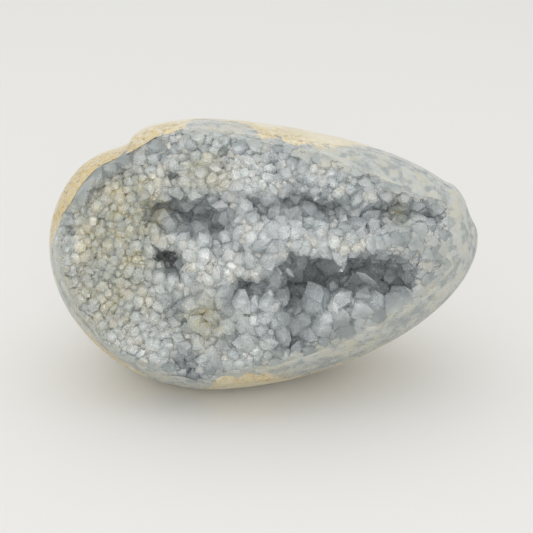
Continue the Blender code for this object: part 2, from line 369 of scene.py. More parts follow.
def hollow_points(drum):
    """The points of a drum of radius 1, drawn out to fill the hollow past the egg's front."""
    ring = np.hypot(drum[:, 0], drum[:, 1])
    way = np.arctan2(drum[:, 1], drum[:, 0])
    rounded_in = (1 - ring) / ROUNDED_SHARE * HOLLOW_ROUND
    across, up = rim_place(way, rind_width(way) + rounded_in)
    raised = HOLLOW_FLOOR + (drum[:, 2] + 1) / ROUNDED_SHARE * HOLLOW_ROUND
    return from_face(across, up, np.where(drum[:, 2] > 0, HOLLOW_FRONT, raised))


def hollow_body(name):
    """What fills the hollow: a drum with a rounded floor."""
    bm = bmesh.new()
    bmesh.ops.create_cone(bm, cap_ends=True, segments=HOLLOW_SEGMENTS, radius1=1, radius2=1, depth=2)
    back_rim = [edge for edge in bm.edges if all(vert.co.z < 0 for vert in edge.verts)]
    bmesh.ops.bevel(bm, geom=back_rim, offset=ROUNDED_SHARE, segments=4, profile=0.5, affect="EDGES")
    return add_mesh(name, bm, hollow_points)


def floor_body(name):
    """The block below the table's level that grinds the flat spot."""
    bm = bmesh.new()
    bmesh.ops.create_cube(bm, size=GRINDING_BLOCK)
    return add_mesh(name, bm, lambda points: points - (0, 0, GRINDING_BLOCK / 2))


rind = egg_body("polished_rind")
print("egg before it is cut:", len(rind.data.polygons), "faces")

# %% [markdown]
# Two Boolean cuts do what nature and the grinding wheel did: one opens the hollow and one grinds the
# flat spot. Cutting with closed bodies leaves a crisp rim and one closed mesh. The polished outside is
# shaded smooth, and only the rim and the flat spot's edge stay sharp.

# %% Cut the egg
RIND_SHARP = 35


def cut(target, operation, *others):
    """Applies Boolean modifiers to the target and removes the helpers that did the cutting."""
    for other in others:
        modifier = target.modifiers.new(other.name, "BOOLEAN")
        modifier.operation = operation
        modifier.solver = "MANIFOLD"
        modifier.object = other
    graph = bpy.context.evaluated_depsgraph_get()
    mesh = bpy.data.meshes.new_from_object(target.evaluated_get(graph), depsgraph=graph)
    target.modifiers.clear()
    target.data = mesh
    for other in others:
        bpy.data.objects.remove(other, do_unlink=True)


def smooth(obj, degrees):
    """Shades the object smooth, and keeps edges sharper than this angle."""
    obj.data.shade_smooth()
    obj.data.set_sharp_from_angle(angle=math.radians(degrees))


cut(rind, "DIFFERENCE", hollow_body("hollow"), floor_body("flat spot"))
smooth(rind, RIND_SHARP)
print("rind:", len(rind.data.polygons), "faces")

# %% [markdown]
# Over the main relief lie finer forms: a shelf at the upper right, swollen margins at the left with a
# groove inside them, a dip at the right end, and lumps everywhere. Round its edge the wheel ground the
# crystals flush with the egg, so there the bed comes up gently to just under the egg's surface and
# follows it. An exponential does that: it leaves the deep middle alone and eases the last millimetres.
# A height alone can't hang over, so the tops of the ridges are moved down over the pockets as well.

# %% Finer forms of the bed
LUMP_LENGTHS = (6.5 * MM, 3.0 * MM)
LUMP_RISES = (1.3 * MM, 0.6 * MM)
GROUND_BLEND = 3.0 * MM
UNDER_GROUND = 0.08 * MM
OVERHANGS = {"great ridge": 3.0, "middle ridge": 1.6, "upper ridge": 2.2}
OVERHANG_FROM = 3.0 * MM
OVERHANG_MARGIN = 1
FINE_RELIEF = (
    (((30, 37), (42, 31), (54, 25), (66, 17)), 7.0, 4.0),
    (((-72, 6), (-71, -8), (-66, -20)), 3.5, 2.0),
    (((-45, 28), (-53, 24), (-60, 17), (-64, 9), (-67, 2)), 2.8, -1.8),
    (((-70, 12), (-60, 28), (-48, 35), (-33, 43)), 3.5, 2.6),
    (((57, 6), (68, 2)), 6.0, -1.8),
)


def crust_out(across, up):
    """How far the bed lies in front of the axis, with its lumps, and under the egg's surface."""
    out = bed_out(across, up)
    for line, half_width, rise in FINE_RELIEF:
        out = out + rise * MM * band(across, up, line, half_width)
    for length, rise in zip(LUMP_LENGTHS, LUMP_RISES):
        out = out + rise * ripple(length, across, up + 3 * length)
    surface = egg_out(across, up)
    below = np.maximum(surface - out, 0)
    return surface - np.maximum(below * (1 - np.exp(-below / GROUND_BLEND)), UNDER_GROUND)


def overhang(across, up, out):
    """How far the tops of the ridges hang down over the pockets below them."""
    top = eased((out - face_out(across, up) + OVERHANG_FROM) / (2 * OVERHANG_FROM))
    return sum(
        reach * MM * top * band(across, up, RELIEF[name][0], RELIEF[name][1] + OVERHANG_MARGIN)
        for name, reach in OVERHANGS.items()
    )


print("finer forms:", len(FINE_RELIEF), "and", len(OVERHANGS), "ridges that hang over")

# %% [markdown]
# The bed is what the crystals grow from. It is a fine grid raised to the relief and closed at the back,
# then cut by the same hollow as the egg, so that it fills the hollow exactly.

# %% The crystal bed
BED_STEP = 0.55 * MM
BED_HALF_LENGTH = HALF_LENGTH + 2 * MM
BED_HALF_HEIGHT = GIRTH_RADIUS + 4 * MM
BED_BACK = -6 * MM
BED_SHARP = 45


def bed_points(block):
    """The points of a grid between -1 and 1: its front raised to the relief, its rim drawn back."""
    across, up = block[:, 0] * BED_HALF_LENGTH, block[:, 1] * BED_HALF_HEIGHT
    front = block[:, 2] >= 0
    out = np.full(len(block), BED_BACK)
    out[front] = crust_out(across[front], up[front])
    return from_face(across, up - overhang(across, up, out), out)


def bed_body(name):
    """The bed as a closed block: a fine grid in front, a skirt, and one flat face behind."""
    bm = bmesh.new()
    columns = round(2 * BED_HALF_LENGTH / BED_STEP)
    rows = round(2 * BED_HALF_HEIGHT / BED_STEP)
    bmesh.ops.create_grid(bm, x_segments=columns, y_segments=rows, size=1)
    rim = [edge for edge in bm.edges if edge.is_boundary]
    skirt = bmesh.ops.extrude_edge_only(bm, edges=rim)["geom"]
    for vertex in {item for item in skirt if isinstance(item, bmesh.types.BMVert)}:
        vertex.co.z = -1
    bmesh.ops.holes_fill(bm, edges=[edge for edge in bm.edges if edge.is_boundary], sides=0)
    return add_mesh(name, bm, bed_points)


bed = bed_body("crystal_bed")
cut(bed, "INTERSECT", hollow_body("crust limits"), egg_body("egg limits"))
smooth(bed, BED_SHARP)
print("bed:", len(bed.data.polygons), "faces")

# %% [markdown]
# Celestite grows as blocky crystals: a rhombic prism whose sharp corners are cut off, under a table with
# sloping sides. One such crystal is three rings of six corners. Thousands of them differ only in size,
# proportion and lean, so they are made as arrays and joined in a few meshes, which costs far less than
# thousands of objects.

# %% One crystal shape for thousands
CORNERS = 6
ROOT = 0.35
BLUNT_CORNER = (0.28, 0.5)
ACROSS_TO_WIDTH = (0.62, 0.95)
TABLE_LENGTH = (0.08, 0.55)
TABLE_BREADTH = (0.3, 0.85)
HEIGHT = (0.24, 0.74)
SLOPING_PART = (0.2, 0.4)
TABLE_TILT = 0.12
UNEVEN = 0.012
rolled = np.random.default_rng(41)


def crystal_rings(count, flatness):
    """Three rings of corners for each crystal, in units of its width, with Z along its axis."""
    blunt = rolled.uniform(*BLUNT_CORNER, count)
    depth = rolled.uniform(*ACROSS_TO_WIDTH, count)
    ring = np.zeros((count, CORNERS, 2))
    ring[:, :, 0] = np.stack((1 - blunt, 0 * blunt, blunt - 1, blunt - 1, 0 * blunt, 1 - blunt), axis=1)
    ring[:, :, 1] = np.stack((blunt, 0 * blunt + 1, blunt, -blunt, 0 * blunt - 1, -blunt), axis=1)
    ring[:, :, 1] *= depth[:, None]
    ring /= 2 * np.maximum(1 - blunt, depth)[:, None, None]
    table = np.stack((rolled.uniform(*TABLE_LENGTH, count), rolled.uniform(*TABLE_BREADTH, count)), axis=1)
    height = rolled.uniform(*HEIGHT, count) * flatness
    shoulder = height - rolled.uniform(*SLOPING_PART, count)
    rings = np.zeros((count, 3, CORNERS, 3))
    rings[:, 0, :, :2] = ring
    rings[:, 1, :, :2] = ring
    rings[:, 2, :, :2] = ring * table[:, None, :]
    rings[:, 0, :, 2] = -ROOT
    rings[:, 1, :, 2] = shoulder[:, None]
    tilt = rolled.normal(0, TABLE_TILT, (count, 2))
    rings[:, 2, :, 2] = height[:, None] + np.einsum("ncx,nx->nc", rings[:, 2, :, :2], tilt)
    rings += rolled.normal(0, UNEVEN, rings.shape)
    return rings


def crystal_faces():
    """The faces of one crystal, by the numbers of its corners."""
    faces = [tuple(reversed(range(CORNERS)))]
    for low in (0, CORNERS):
        for corner in range(CORNERS):
            after = (corner + 1) % CORNERS
            faces.append((low + corner, low + after, low + CORNERS + after, low + CORNERS + corner))
    faces.append(tuple(range(2 * CORNERS, 3 * CORNERS)))
    return faces


FACES = crystal_faces()
print("one crystal:", 3 * CORNERS, "corners,", len(FACES), "faces")

# %% [markdown]
# How large the crystals are depends on where they grow: fine on the ridges and at the blunt end, large
# in the pockets, where they had room, and fine again where the wheel cut them flush. The ridges and
# pockets have names already, so their widths in millimetres are given by name.

# %% How large the crystals are
COMMON_WIDTH = 3.0
WIDTHS = {
    "upper ridge": 2.7,
    "middle ridge": 2.7,
    "great ridge": 3.0,
    "left ridge": 2.4,
    "upper pocket": 5.4,
    "deep hole": 3.2,
    "long groove": 4.4,
    "great pocket": 6.2,
    "pocket arm": 5.6,
    "small pocket": 4.2,
    "lower trough": 4.0,
    "shoulder pit": 2.2,
    "top pit": 2.4,
}
WIDE_ZONES = (
    (((-28, -12), (-10, -14)), 8.0, 4.6),
    (((-18, -27), (2, -25)), 8.0, 3.9),
    (((18, -20), (38, -18), (44, -13)), 7.0, 4.4),
    (((-62, -5), (-52, 5), (-46, -22)), 14.0, 2.5),
    (((-40, 36), (-50, 29), (-60, 21), (-66, 10)), 4.0, 4.6),
)
GROUND_WIDTH = 2.2
GROUND_REACH = 0.9 * MM


def crystal_width(across, up):
    """The usual crystal width at places on the face."""
    width = np.full(np.shape(across), COMMON_WIDTH)
    for line, half_width, local in WIDE_ZONES:
        width += (local - width) * band(across, up, line, half_width)
    for name, local in WIDTHS.items():
        line, half_width, _ = RELIEF[name]
        width += (local - width) * band(across, up, line, half_width)
    near_ground = eased(2 - (egg_out(across, up) - crust_out(across, up)) / GROUND_REACH)
    return (width + (GROUND_WIDTH - width) * near_ground) * MM


print("widths set for", len(WIDTHS) + len(WIDE_ZONES), "zones")

# %% [markdown]
# Places are tried at random and kept where no neighbour stands too close, which gives the even but
# unordered cover of a real crust. Distances are measured in space, so the steep pocket walls are covered
# as well as the flat parts. The wide crystals are placed first, and the fine ones fill in between. Seven
# great crystals have places of their own: across, up, width, two leans in degrees, and clearness.

# %% Where the crystals grow
SPACING = 0.47
WIDTH_SPREAD = 0.4
WIDEST = 2.1
WIDE_FIRST = (0.5, 1)
TRIES = 130000
RIM_STEPS = 400
INTO_RIM = 0.6 * MM
GROUND_FREE = 0.2 * MM
GREAT_FREE = 0.42
GREAT_CRYSTALS = (
    (18, -16, 13, 10, -10, 1.0),
    (3, -11, 10, -20, 5, 0.3),
    (27, -7, 8, 15, -20, 1.0),
    (39, -8, 8, -15, 15, 1.0),
    (-31, 12, 7, 20, 0, 0.9),
    (-24, 14, 7, -10, -15, 0.9),
    (-17, 13, 7, 15, 20, 0.9),
)


def within_rim(across, up):
    """Whether places on the face lie inside the rind's rim, or just under it."""
    way = np.linspace(-math.pi, math.pi, RIM_STEPS)
    rim_across, rim_up = rim_place(way, rind_width(way))
    rim_angle = np.arctan2(rim_up, rim_across - GIRTH_X)
    reach = np.hypot(rim_up, rim_across - GIRTH_X)
    order = np.argsort(rim_angle)
    limit = np.interp(np.arctan2(up, across - GIRTH_X), rim_angle[order], reach[order])
    return np.hypot(up, across - GIRTH_X) < limit + INTO_RIM


def spaced_places(points, spacing):
    """Which of the points to keep so that none is closer to an earlier one than its spacing."""
    cell = spacing.max()
    cells = {}
    kept = []
    keys = np.floor(points / cell).astype(int).tolist()
    around = [(i, j, k) for i in (-1, 0, 1) for j in (-1, 0, 1) for k in (-1, 0, 1)]
    for number, (point, own, key) in enumerate(zip(points.tolist(), spacing.tolist(), keys)):
        cells_near = [(key[0] + i, key[1] + j, key[2] + k) for i, j, k in around]
        near = [other for cell_near in cells_near for other in cells.get(cell_near, ())]
        if all(math.dist(point, place) > (own + theirs) / 2 for place, theirs in near):
            cells.setdefault(tuple(key), []).append((point, own))
            kept.append(number)
    return np.array(kept)


def growth_places():
    """Places on the face where crystals grow, each with its width."""
    across = rolled.uniform(-HALF_LENGTH, HALF_LENGTH, TRIES)
    up = rolled.uniform(-GIRTH_RADIUS, GIRTH_RADIUS, TRIES)
    inside = within_rim(across, up) & (egg_out(across, up) - crust_out(across, up) > GROUND_FREE)
    for x, y, great_width, *_ in GREAT_CRYSTALS:
        inside &= np.hypot(across - x * MM, up - y * MM) > GREAT_FREE * great_width * MM
    across, up = across[inside], up[inside]
    chance = np.minimum(rolled.lognormal(0, WIDTH_SPREAD, len(across)), WIDEST)
    width = crystal_width(across, up) * chance
    order = np.argsort(-width * rolled.uniform(*WIDE_FIRST, len(width)))
    across, up, width = across[order], up[order], width[order]
    points = np.stack((across, up, crust_out(across, up)), axis=1)
    kept = spaced_places(points, width * SPACING)
    return across[kept], up[kept], width[kept]


across, up, width = growth_places()
great = np.array(GREAT_CRYSTALS, float)
sizes = [round(float(value) / MM, 1) for value in np.percentile(width, (0, 5, 50, 95, 100))]
print(len(across), "crystals, finest to widest in mm:", sizes)

# %% [markdown]
# Each crystal stands on the bed along its slope, leaning a little its own way. Whatever would stand out
# past the egg is pressed back to the egg's surface, as the wheel ground it flush. A Boolean cut would do
# the same, but slowly and with thousands of slivers.

# %% Plant the crystals and grind them
SLOPE_STEP = 1.5 * MM
UPRIGHT = 1.4
LEAN = 0.45
FLUSH = (0.02 * MM, 0.5 * MM)
POLE_SHARE = 0.008
NO_SPREAD = 1e-9


def unit(vectors):
    """The same directions with a length of 1."""
    return vectors / np.linalg.norm(vectors, axis=-1, keepdims=True)


def bed_slope(across, up):
    """The way the bed faces, as directions in the face's own across, up and out."""
    lean_across = crust_out(across - SLOPE_STEP, up) - crust_out(across + SLOPE_STEP, up)
    lean_up = crust_out(across, up - SLOPE_STEP) - crust_out(across, up + SLOPE_STEP)
    run = 2 * SLOPE_STEP
    return unit(np.stack((lean_across / run, lean_up / run, np.full(len(across), UPRIGHT)), axis=1))


def grow(across, up, width, axis, flatness):
    """World points of the crystals, in rings."""
    rings = crystal_rings(len(across), flatness) * width[:, None, None, None]
    side = unit(np.cross(axis, rolled.normal(0, 1, axis.shape)))
    other = np.cross(axis, side)
    turned = (
        rings[..., 0, None] * side[:, None, None, :]
        + rings[..., 1, None] * other[:, None, None, :]
        + rings[..., 2, None] * axis[:, None, None, :]
    )
    out = crust_out(across, up)
    root = np.stack((across, up - overhang(across, up, out), out), axis=1)
    placed = turned + root[:, None, None, :]
    return from_face(placed[..., 0], placed[..., 1], placed[..., 2])


def ground_flush(points):
    """Points that stand past the egg, pressed back under its surface, each crystal by its own hair."""
    worn = rolled.uniform(*FLUSH, len(points))[:, None, None]
    ends = np.array((GIRTH_X - BLUNT_REACH, GIRTH_X + POINTED_REACH)) * (1 - POLE_SHARE)
    across = np.clip(points[..., 0] - MIDDLE_X, *ends)
    middle = AXIS_HEIGHT + axis_rise(across)
    y, z = points[..., 1], points[..., 2] - middle
    limit = egg_radius(across) - worn - wear(across, np.arctan2(y, z))
    scale = np.clip(limit / np.maximum(np.hypot(y, z), NO_SPREAD), 0, 1)
    return np.stack((MIDDLE_X + across, y * scale, middle + z * scale), axis=-1)


axis = unit(bed_slope(across, up) + rolled.normal(0, LEAN, (len(across), 3)))
points = ground_flush(grow(across, up, width, axis, 1.0))
print(points[..., 0].size, "corners planted")

# %% [markdown]
# The materials need to know where they are. Every point of every mesh carries how deep in a pocket it
# is, how far up a ridge, how near the ground skin, how stained with clay, and how far round the egg it
# lies from where stone takes over from celestite. That border isn't the crust's edge: it is a ragged
# line, given as the angle from the middle of the face at which the stone starts, for each way round it.

# %% What the colours depend on
DEEP_FROM = 12
RIDGE_FROM = -1.8
RIDGE_RUN = 5.5
SKIN_WITHIN = 1.8 * MM
SKIN_EASE = 1.0 * MM
STAINED = (
    ((-51, 14), 7.0),
    ((-49, 3), 9.0),
    ((-52, -14), 9.0),
    ((-43, 21), 5.0),
    ((-22, 28), 5.0),
    ((-38, 14), 5.0),
    ((46, 14), 3.0),
    ((-20, -22), 6.0),
)
STONE_EDGE = (
    (-180, 80), (-150, 80), (-138, 73), (-118, 75), (-104, 90), (-94, 84), (-85, 61), (-78, 61),
    (-68, 80), (-48, 80), (-36, 94), (-15, 96), (-5, 92), (8, 92), (22, 96), (40, 93), (50, 80),
    (60, 63), (68, 58), (76, 61), (83, 72), (89, 82), (94, 76), (101, 61), (109, 55), (118, 53),
    (128, 52), (140, 56), (150, 57), (163, 56), (171, 66), (180, 74),
)
CLAY_EDGE = (
    (-180, 0.3), (-150, 0.2), (-135, 0.7), (-118, 0.7), (-108, 0.2), (-96, 0.2), (-86, 0.8), (-77, 0.8),
    (-66, 0.3), (-60, 0.5), (-48, 0.5), (-38, 0.1), (50, 0.1), (60, 0.4), (68, 0.7), (78, 0.7),
    (88, 0.1), (95, 0.3), (104, 0.9), (150, 1.0), (168, 0.9), (180, 0.6),
)


def mark(mesh, name, values):
    """Stores a number for every point of the mesh, for its material to read."""
    numbers = mesh.attributes.new(name, "FLOAT", "POINT")
    numbers.data.foreach_set("value", values.astype(np.float32).ravel())


def round_table(way, table):
    """A value that changes round the face, eased from one place of the table to the next."""
    places, values = np.array(table, float).T
    number = np.clip(np.searchsorted(places, way, "right") - 1, 0, len(places) - 2)
    share = (way - places[number]) / (places[number + 1] - places[number])
    return values[number] + (values[number + 1] - values[number]) * eased(share)


def round_the_face(across, up, out):
    """The way round the face and the angle from its middle, in degrees, of points on the egg."""
    from_girth = across - GIRTH_X
    along = from_girth / np.where(from_girth < 0, BLUNT_REACH, POINTED_REACH)
    rise = axis_rise(across)
    over = (up - rise * COS_PITCH) / GIRTH_RADIUS
    front = (out - rise * SIN_PITCH) / GIRTH_RADIUS
    way = np.degrees(np.arctan2(over, along))
    return way, np.degrees(np.arctan2(np.hypot(along, over), front))


def mark_place(mesh):
    """Marks each point's depth in a pocket, height on a ridge, stain, and distance from the stone."""
    across, up, out = to_face(coordinates_of(mesh))
    above = (out - np.minimum(face_out(across, up), egg_out(across, up) - GROUND_BLEND)) / MM
    # The depth and height marks also paint shade into the pockets and light onto the ridges.
    mark(mesh, "depth", eased(-above / DEEP_FROM))
    mark(mesh, "height", eased((above - RIDGE_FROM) / RIDGE_RUN))
    mark(mesh, "ground", eased((SKIN_WITHIN - egg_out(across, up) + out) / SKIN_EASE))
    stain = sum(
        np.exp(-((across / MM - x) ** 2 + (up / MM - y) ** 2) / (2 * radius**2))
        for (x, y), radius in STAINED
    )
    mark(mesh, "stain", np.clip(stain, 0, 1))
    way, angle = round_the_face(across, up, out)
    mark(mesh, "into_stone", np.radians(angle - round_table(way, STONE_EDGE)) * GIRTH_RADIUS / MM)
    mark(mesh, "clay_edge", round_table(way, CLAY_EDGE))


mark_place(bed.data)
mark_place(rind.data)
for name, value in (("tint", 0.5), ("clear", 0.0), ("tip", 0.2)):
    mark(bed.data, name, np.full(len(bed.data.vertices), value))
print("marked:", sorted(name for name in bed.data.attributes.keys() if not name.startswith(".")))

# %% [markdown]
# The planted corners become real meshes, a few thousand crystals to a piece so that none grows too
# heavy. Each crystal also carries a chance tint and how clear it is: the wide ones had time to grow
# clear, the fine ones are milky.

# %% Grow the crystals
PIECE_LIMIT = 5500
CLEAR_WIDTHS = (3.5 * MM, 7 * MM)
CLEAREST = 0.7
TIP_OF_RINGS = (0.0, 0.6, 1.0)


def add_crystals(name, points, tint, clear):
    """One mesh of all these crystals, with what their colour depends on."""
    count = len(points)
    corners = points.reshape(-1, 3)
    firsts = np.arange(count) * 3 * CORNERS
    faces = [tuple(first + corner for corner in face) for first in firsts.tolist() for face in FACES]
    mesh = bpy.data.meshes.new(name)
    mesh.from_pydata(corners.tolist(), [], faces)
    made = bpy.data.objects.new(name, mesh)
    bpy.context.scene.collection.objects.link(made)
    mark(mesh, "tint", np.repeat(tint, 3 * CORNERS))
    mark(mesh, "clear", np.repeat(clear, 3 * CORNERS))
    mark(mesh, "tip", np.tile(np.repeat(TIP_OF_RINGS, CORNERS), count))
    mark_place(mesh)
    return made


clear = CLEAREST * eased((width - CLEAR_WIDTHS[0]) / (CLEAR_WIDTHS[1] - CLEAR_WIDTHS[0]))
by_place = np.argsort(across)
crystal_pieces = []
pieces_needed = math.ceil(len(across) / PIECE_LIMIT)
for number, share in enumerate(np.array_split(by_place, pieces_needed), 1):
    tint = rolled.uniform(0, 1, len(share))
    crystal_pieces.append(add_crystals(f"crystals_{number}", points[share], tint, clear[share]))
print("pieces:", {piece.name: len(piece.data.polygons) for piece in crystal_pieces})

# %% [markdown]
# Seven crystals in the pockets are far larger than the rest. They stand at the same places as on the
# plain solids, and are a little flatter, as large celestite is.

# %% The great crystals
GREAT_FLATNESS = 0.95
GREAT_TINTS = (0.3, 0.7)

great_across, great_up, great_width = great[:, 0] * MM, great[:, 1] * MM, great[:, 2] * MM
leans = np.sin(np.radians(great[:, 3:5]))
leans = np.stack((leans[:, 0], leans[:, 1], 0 * leans[:, 0]), axis=1)
great_axis = unit(bed_slope(great_across, great_up) + leans)
great_points = ground_flush(grow(great_across, great_up, great_width, great_axis, GREAT_FLATNESS))
great_tint = rolled.uniform(*GREAT_TINTS, len(great))
crystal_pieces.append(add_crystals("great_crystals", great_points, great_tint, great[:, 5]))
print(len(great), "great crystals, up to", round(float(great_width.max()) / MM, 1), "mm wide")

# %% [markdown]
# A node group is a small recipe that several materials share. These helpers add nodes with their values
# in one line each, so that a recipe reads like a short list.

# %% Helpers for materials
def add(tree, kind, values=None, **settings):
    """Adds a node. Its sockets are set to plain values or joined to other nodes' outputs."""
    made = tree.nodes.new(kind)
    for name, value in settings.items():
        setattr(made, name, value)
    for socket, value in (values or {}).items():
        if isinstance(value, bpy.types.NodeSocket):
            tree.links.new(value, made.inputs[socket])
        else:
            made.inputs[socket].default_value = value
    return made


def mapped(tree, value, low, high, to_low=0.0, to_high=1.0):
    """The value moved softly from one range to another."""
    sockets = {"Value": value, "From Min": low, "From Max": high, "To Min": to_low, "To Max": to_high}
    return add(tree, "ShaderNodeMapRange", sockets, interpolation_type="SMOOTHSTEP").outputs[0]


def blended(tree, share, first, second, way="MIX"):
    """Two colours mixed by a share."""
    node = add(tree, "ShaderNodeMix", {0: share, 6: first, 7: second}, data_type="RGBA", blend_type=way)
    return node.outputs[2]


def between(tree, share, first, second):
    """A value between two others, by a share."""
    return add(tree, "ShaderNodeMix", {0: share, 2: first, 3: second}, data_type="FLOAT").outputs[0]


def math_of(tree, operation, first, second=0.0):
    """One sum, product or other step of arithmetic."""
    return add(tree, "ShaderNodeMath", {0: first, 1: second}, operation=operation).outputs[0]


def grain(tree, size, detail=3.0, roughness=0.5, distortion=0.0):
    """Noise with grains of this size, fixed to the object."""
    place = add(tree, "ShaderNodeTexCoord").outputs["Object"]
    sockets = {"Vector": place, "Scale": 1 / size, "Detail": detail}
    sockets.update({"Roughness": roughness, "Distortion": distortion})
    return add(tree, "ShaderNodeTexNoise", sockets).outputs["Fac"]


def marked(tree, name):
    """The number stored under this name for every point of the mesh."""
    return add(tree, "ShaderNodeAttribute", attribute_name=name).outputs["Fac"]


def new_group(name, inputs, outputs):
    """An empty node group with these sockets, given by name and kind."""
    made = bpy.data.node_groups.new(name, "ShaderNodeTree")
    for direction, sockets in (("INPUT", inputs), ("OUTPUT", outputs)):
        for label, kind in sockets.items():
            made.interface.new_socket(label, in_out=direction, socket_type=f"NodeSocket{kind}")
    return made, made.nodes.new("NodeGroupInput").outputs, made.nodes.new("NodeGroupOutput").inputs


def placed_group(tree, group, values):
    """The group as a node in a material, with this material's own values."""
    made = add(tree, "ShaderNodeGroup", node_tree=group)
    for socket, value in values.items():
        if isinstance(value, bpy.types.NodeSocket):
            tree.links.new(value, made.inputs[socket])
        else:
            made.inputs[socket].default_value = value
    return made.outputs


# %% [markdown]
# Iron-rich clay colours the limestone and collects between the crystals. One recipe gives both: broad
# clouds where the clay lies, broken up into specks by a finer noise, with thin threads where a third
# noise passes through its middle value.

# %% Clay stain
CLAY_CLOUD = 6 * MM
CLAY_SPECK = 1.3 * MM
CLAY_THREAD = 2.6 * MM
THREAD_HALF_WIDTH = 0.03
THREAD_STRENGTH = 0.85


def clay_group():
    """A mask of where clay lies, as strong as its amount."""
    tree, given, result = new_group("clay_stain", {"Amount": "Float"}, {"Mask": "Float"})
    clouds = grain(tree, CLAY_CLOUD, 4)
    specks = grain(tree, CLAY_SPECK, 5, 0.65)
    from_line = math_of(tree, "SUBTRACT", grain(tree, CLAY_THREAD, 3, 0.6, 0.6), 0.5)
    from_line = math_of(tree, "ABSOLUTE", from_line)
    threads = mapped(tree, from_line, THREAD_HALF_WIDTH, 0.0, 0, THREAD_STRENGTH)
    lying = math_of(tree, "MAXIMUM", mapped(tree, specks, 0.46, 0.68), threads)
    both = math_of(tree, "MULTIPLY", mapped(tree, clouds, 0.35, 0.65), lying)
    tree.links.new(math_of(tree, "MULTIPLY", both, given["Amount"]), result["Mask"])
    return tree


CLAY = clay_group()
print(CLAY.name, "has", len(CLAY.nodes), "nodes")

# %% [markdown]
# Celestite is a clear to milky blue-grey; tiny flaws fleck it white, and the wide crystals are clear grey.
# The recipe adds up how milky a place is from a cloudy grain, a chance shift for each crystal and the
# place's height, which whitens the ridges as painted light, then mixes clear grey, milky blue and white
# by that. Painted shade darkens the pockets by their depth, most at the foot of each crystal, and clay and
# the grinding wheel change the colour last.

# %% Celestite colour
CLEAR_TONE = (0.83, 0.84, 0.82, 1)
MASSIVE_TONE = (0.48, 0.48, 0.455, 1)
CLAY_FILM = (0.86, 0.85, 0.78, 1)
CLEAR_GREY = (0.58, 0.63, 0.65, 1)
MILKY_BLUE = (0.87, 0.92, 0.925, 1)
WHITE = (0.985, 0.99, 0.965, 1)
CREAM_WHITE = (0.985, 0.975, 0.90, 1)
# The grey-blue below is painted shade, the colour that the pockets are darkened towards.
POCKET_SHADE = (0.54, 0.575, 0.59, 1)
YELLOW_CLAY = (0.90, 0.76, 0.36, 1)
MILK_CLOUD = 6 * MM
FLAW = 1.6 * MM
WARM_PATCH = 11 * MM
GROWN_SPREAD, GROUND_SPREAD = 0.3, 1.1
CLEARED = 1.6
TIP_SHADE = 0.7
GROUND_ROUGHNESS = 0.35


def milk_and_ridge_light(tree, given):
    """How milky the crystal is, with the height whitening the ridges as painted light: below 0 clear,
    towards 1 white.
    """
    milk = mapped(tree, grain(tree, MILK_CLOUD, 4, 0.6), 0.3, 0.7, -0.3, 0.5)
    # Painted light: the height on a ridge adds to the milk, so the ridges come out whiter.
    milk = math_of(tree, "ADD", given["Height"], milk)
    spread = mapped(tree, given["Ground"], 0, 1, GROWN_SPREAD, GROUND_SPREAD)
    chance = math_of(tree, "MULTIPLY", math_of(tree, "SUBTRACT", given["Tint"], 0.5), spread)
    milk = math_of(tree, "ADD", milk, chance)
    return math_of(tree, "SUBTRACT", milk, math_of(tree, "MULTIPLY", given["Clear"], CLEARED))


def celestite_group():
    """Celestite, grown or ground, by what is known of the place and its crystal."""
    tree, given, result = new_group(
        "celestite_colour",
        {
            "Height": "Float", "Depth": "Float", "Tint": "Float", "Clear": "Float", "Tip": "Float",
            "Stain": "Float", "Ground": "Float", "Ground Tone": "Color",
        },
        {"Color": "Color", "Roughness": "Float", "Relief": "Float"},
    )
    flaws = grain(tree, FLAW, 4, 0.6, 0.8)
    milk = milk_and_ridge_light(tree, given)
    colour = blended(tree, mapped(tree, milk, -0.5, 0.3), CLEAR_GREY, MILKY_BLUE)
    warm = mapped(tree, grain(tree, WARM_PATCH, 3, 0.6), 0.42, 0.6)
    colour = blended(tree, mapped(tree, milk, 0.3, 0.9), colour, blended(tree, warm, WHITE, CREAM_WHITE))
    colour = blended(tree, mapped(tree, flaws, 0.5, 0.75, 0, 0.3), colour, WHITE)
    # Painted shade: the pockets turn darker by their depth, most at the foot of each crystal.
    shade = math_of(tree, "MULTIPLY", given["Depth"], mapped(tree, given["Tip"], 0, 1, 1, TIP_SHADE))
    colour = blended(tree, shade, colour, POCKET_SHADE)
    colour = blended(tree, given["Stain"], colour, blended(tree, 1.0, colour, CLAY_FILM, "MULTIPLY"))
    clay = placed_group(tree, CLAY, {"Amount": given["Stain"]})["Mask"]
    colour = blended(tree, clay, colour, YELLOW_CLAY)
    toned = blended(tree, 1.0, colour, given["Ground Tone"], "MULTIPLY")
    tree.links.new(blended(tree, given["Ground"], colour, toned), result["Color"])
    worn = math_of(tree, "MULTIPLY", given["Ground"], GROUND_ROUGHNESS)
    rough = math_of(tree, "ADD", mapped(tree, flaws, 0.3, 0.7, 0.12, 0.4), worn)
    tree.links.new(rough, result["Roughness"])
    tree.links.new(flaws, result["Relief"])
    return tree


CELESTITE = celestite_group()
print(CELESTITE.name, "has", len(CELESTITE.nodes), "nodes")

# %% [markdown]
# A real celestite crystal bends light a little more than glass does and lets it through, with a milky
# body that scatters part of it. A volume inside thousands of crystals would be slow, so each surface
# passes a little over half of the light on and scatters the rest, which looks much the same this small.

# %% The crystals' finish
TRANSMISSION = 0.6
CELESTITE_IOR = 1.62
STAIN_SHARE = 0.9
CRYSTAL_BUMP = (0.1, 0.2 * MM)


def new_material(name):
    """A new material with its node tree and its shader."""
    made = bpy.data.materials.new(name)
    made.use_nodes = True
    return made, made.node_tree, made.node_tree.nodes["Principled BSDF"]


def bumped(tree, height, strength, distance):
    """A bent normal from a height between 0 and 1."""
    sockets = {"Height": height, "Strength": strength, "Distance": distance}
    return add(tree, "ShaderNodeBump", sockets).outputs[0]


